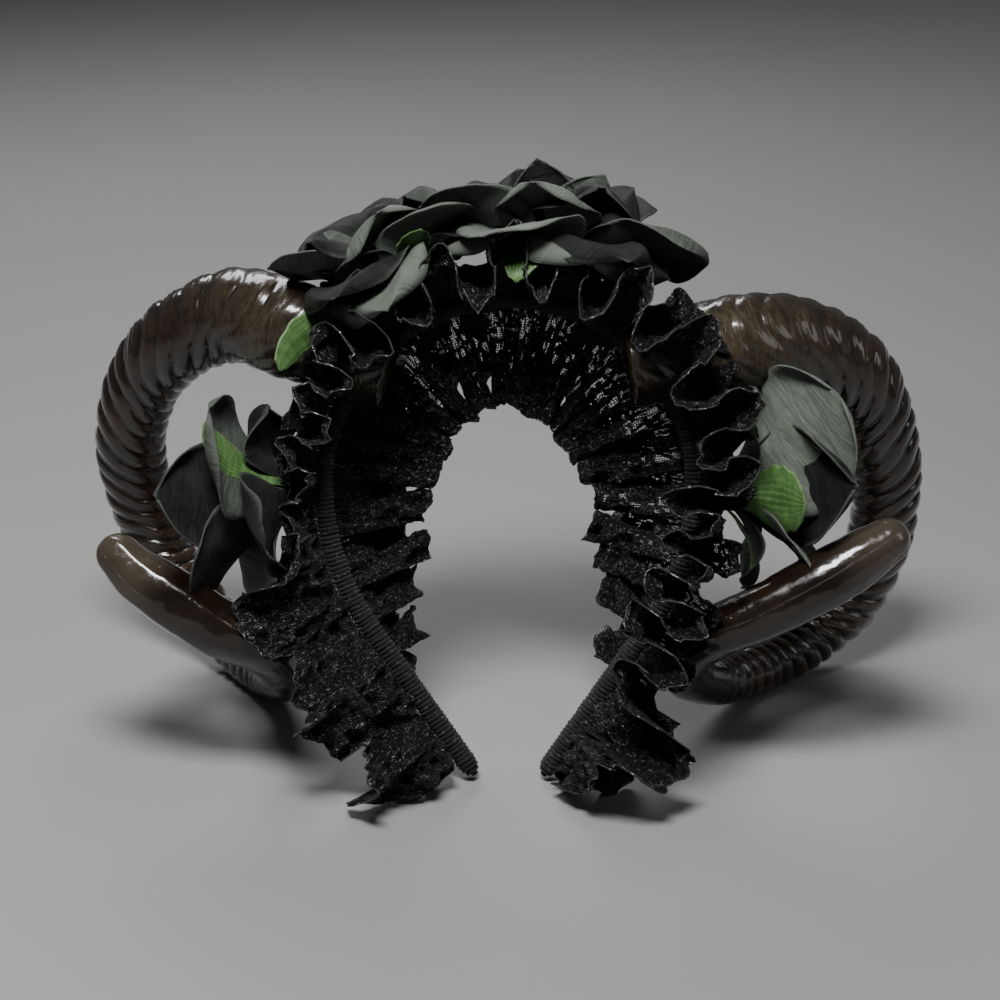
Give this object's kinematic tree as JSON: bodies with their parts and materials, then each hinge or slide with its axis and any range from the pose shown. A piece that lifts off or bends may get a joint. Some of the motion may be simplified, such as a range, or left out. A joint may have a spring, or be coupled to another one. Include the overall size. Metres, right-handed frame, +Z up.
{
  "type": "ram horns headband",
  "caption": "Costume headband with curled ram horns, gathered lace ruffles and cloth roses with green leaves, standing on its feet and horns.",
  "frame": {"origin": "middle of the footprint on the floor, with the headband standing on its feet and horns", "axes": "+X towards the wearer's left across both horns, +Z up, -Y towards the wearer's front"},
  "size_m": [0.2874, 0.1472, 0.1936],
  "materials": {
    "wrap": "matte",
    "horn": "gloss",
    "lace": "matte",
    "petal": "matte",
    "leaf": "satin"
  },
  "bodies": {
    "root": {"headband": "wrap", "horn_right": "horn", "horn_left": "horn", "ruffle_front": "lace", "ruffle_back": "lace", "rose_crown_right_outer_petals": "petal", "rose_crown_right_inner_petals": "petal", "rose_crown_right_bud": "petal", "rose_crown_right_calyx": "leaf", "rose_crown_left_outer_petals": "petal", "rose_crown_left_inner_petals": "petal", "rose_crown_left_bud": "petal", "rose_crown_left_calyx": "leaf", "rose_side_right_outer_petals": "petal", "rose_side_right_inner_petals": "petal", "rose_side_right_bud": "petal", "rose_side_right_calyx": "leaf", "rose_side_left_outer_petals": "petal", "rose_side_left_inner_petals": "petal", "rose_side_left_bud": "petal", "rose_side_left_calyx": "leaf"}
  },
  "joints": []
}
